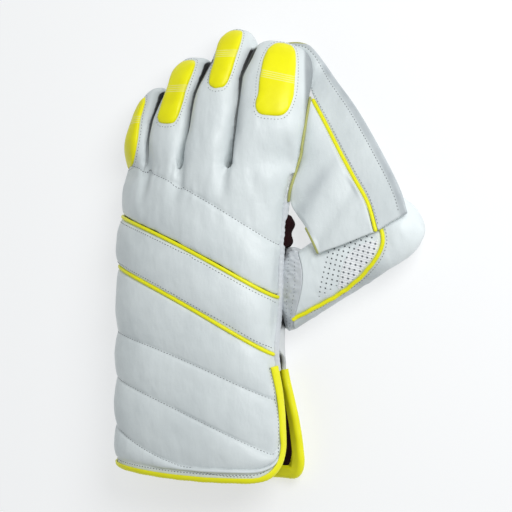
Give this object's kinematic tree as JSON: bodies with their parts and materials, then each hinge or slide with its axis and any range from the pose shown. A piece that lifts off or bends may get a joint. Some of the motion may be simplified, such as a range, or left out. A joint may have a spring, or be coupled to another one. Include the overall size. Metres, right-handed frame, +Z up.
{
  "type": "wicketkeeping glove",
  "caption": "Padded left-hand leather wicketkeeping glove with a quilted back, piped band, pads on the fingertips and a web between index finger and thumb, lying palm down.",
  "frame": {"origin": "on the resting face of the palm, under its middle", "axes": "+Y from the cuff to the fingertips, +X to the thumb side, +Z up out of the back of the hand"},
  "size_m": [0.2482, 0.34, 0.0607],
  "materials": {
    "light_leather": "smooth, faint grain, soft sheen",
    "pale_leather": "smooth, gathered",
    "yellow_trim": "smooth coated, satin",
    "olive_trim": "smooth, satin",
    "white_textile": "open knit, matte",
    "dark_lining": "matte"
  },
  "bodies": {
    "root": {"cuff_panel": "light_leather", "band_panel": "light_leather", "knuckle_panel": "light_leather", "palm_panel": "light_leather", "lining": "dark_lining", "upper_piping": "yellow_trim", "lower_piping": "yellow_trim", "back_binding": "yellow_trim", "palm_binding": "yellow_trim", "finger_little": "light_leather", "finger_ring": "light_leather", "finger_middle": "light_leather", "finger_index": "light_leather", "tip_pad_little": "yellow_trim", "tip_pad_ring": "yellow_trim", "tip_pad_middle": "yellow_trim", "tip_pad_index": "yellow_trim", "side_welt": "pale_leather", "thumb_guard": "light_leather", "thumb_back": "light_leather", "thumb_mesh": "white_textile", "thumb_piping": "yellow_trim", "thumb_gusset": "pale_leather", "web_panel": "light_leather", "web_band": "light_leather", "web_piping": "yellow_trim", "web_edge_piping": "olive_trim"}
  },
  "joints": []
}
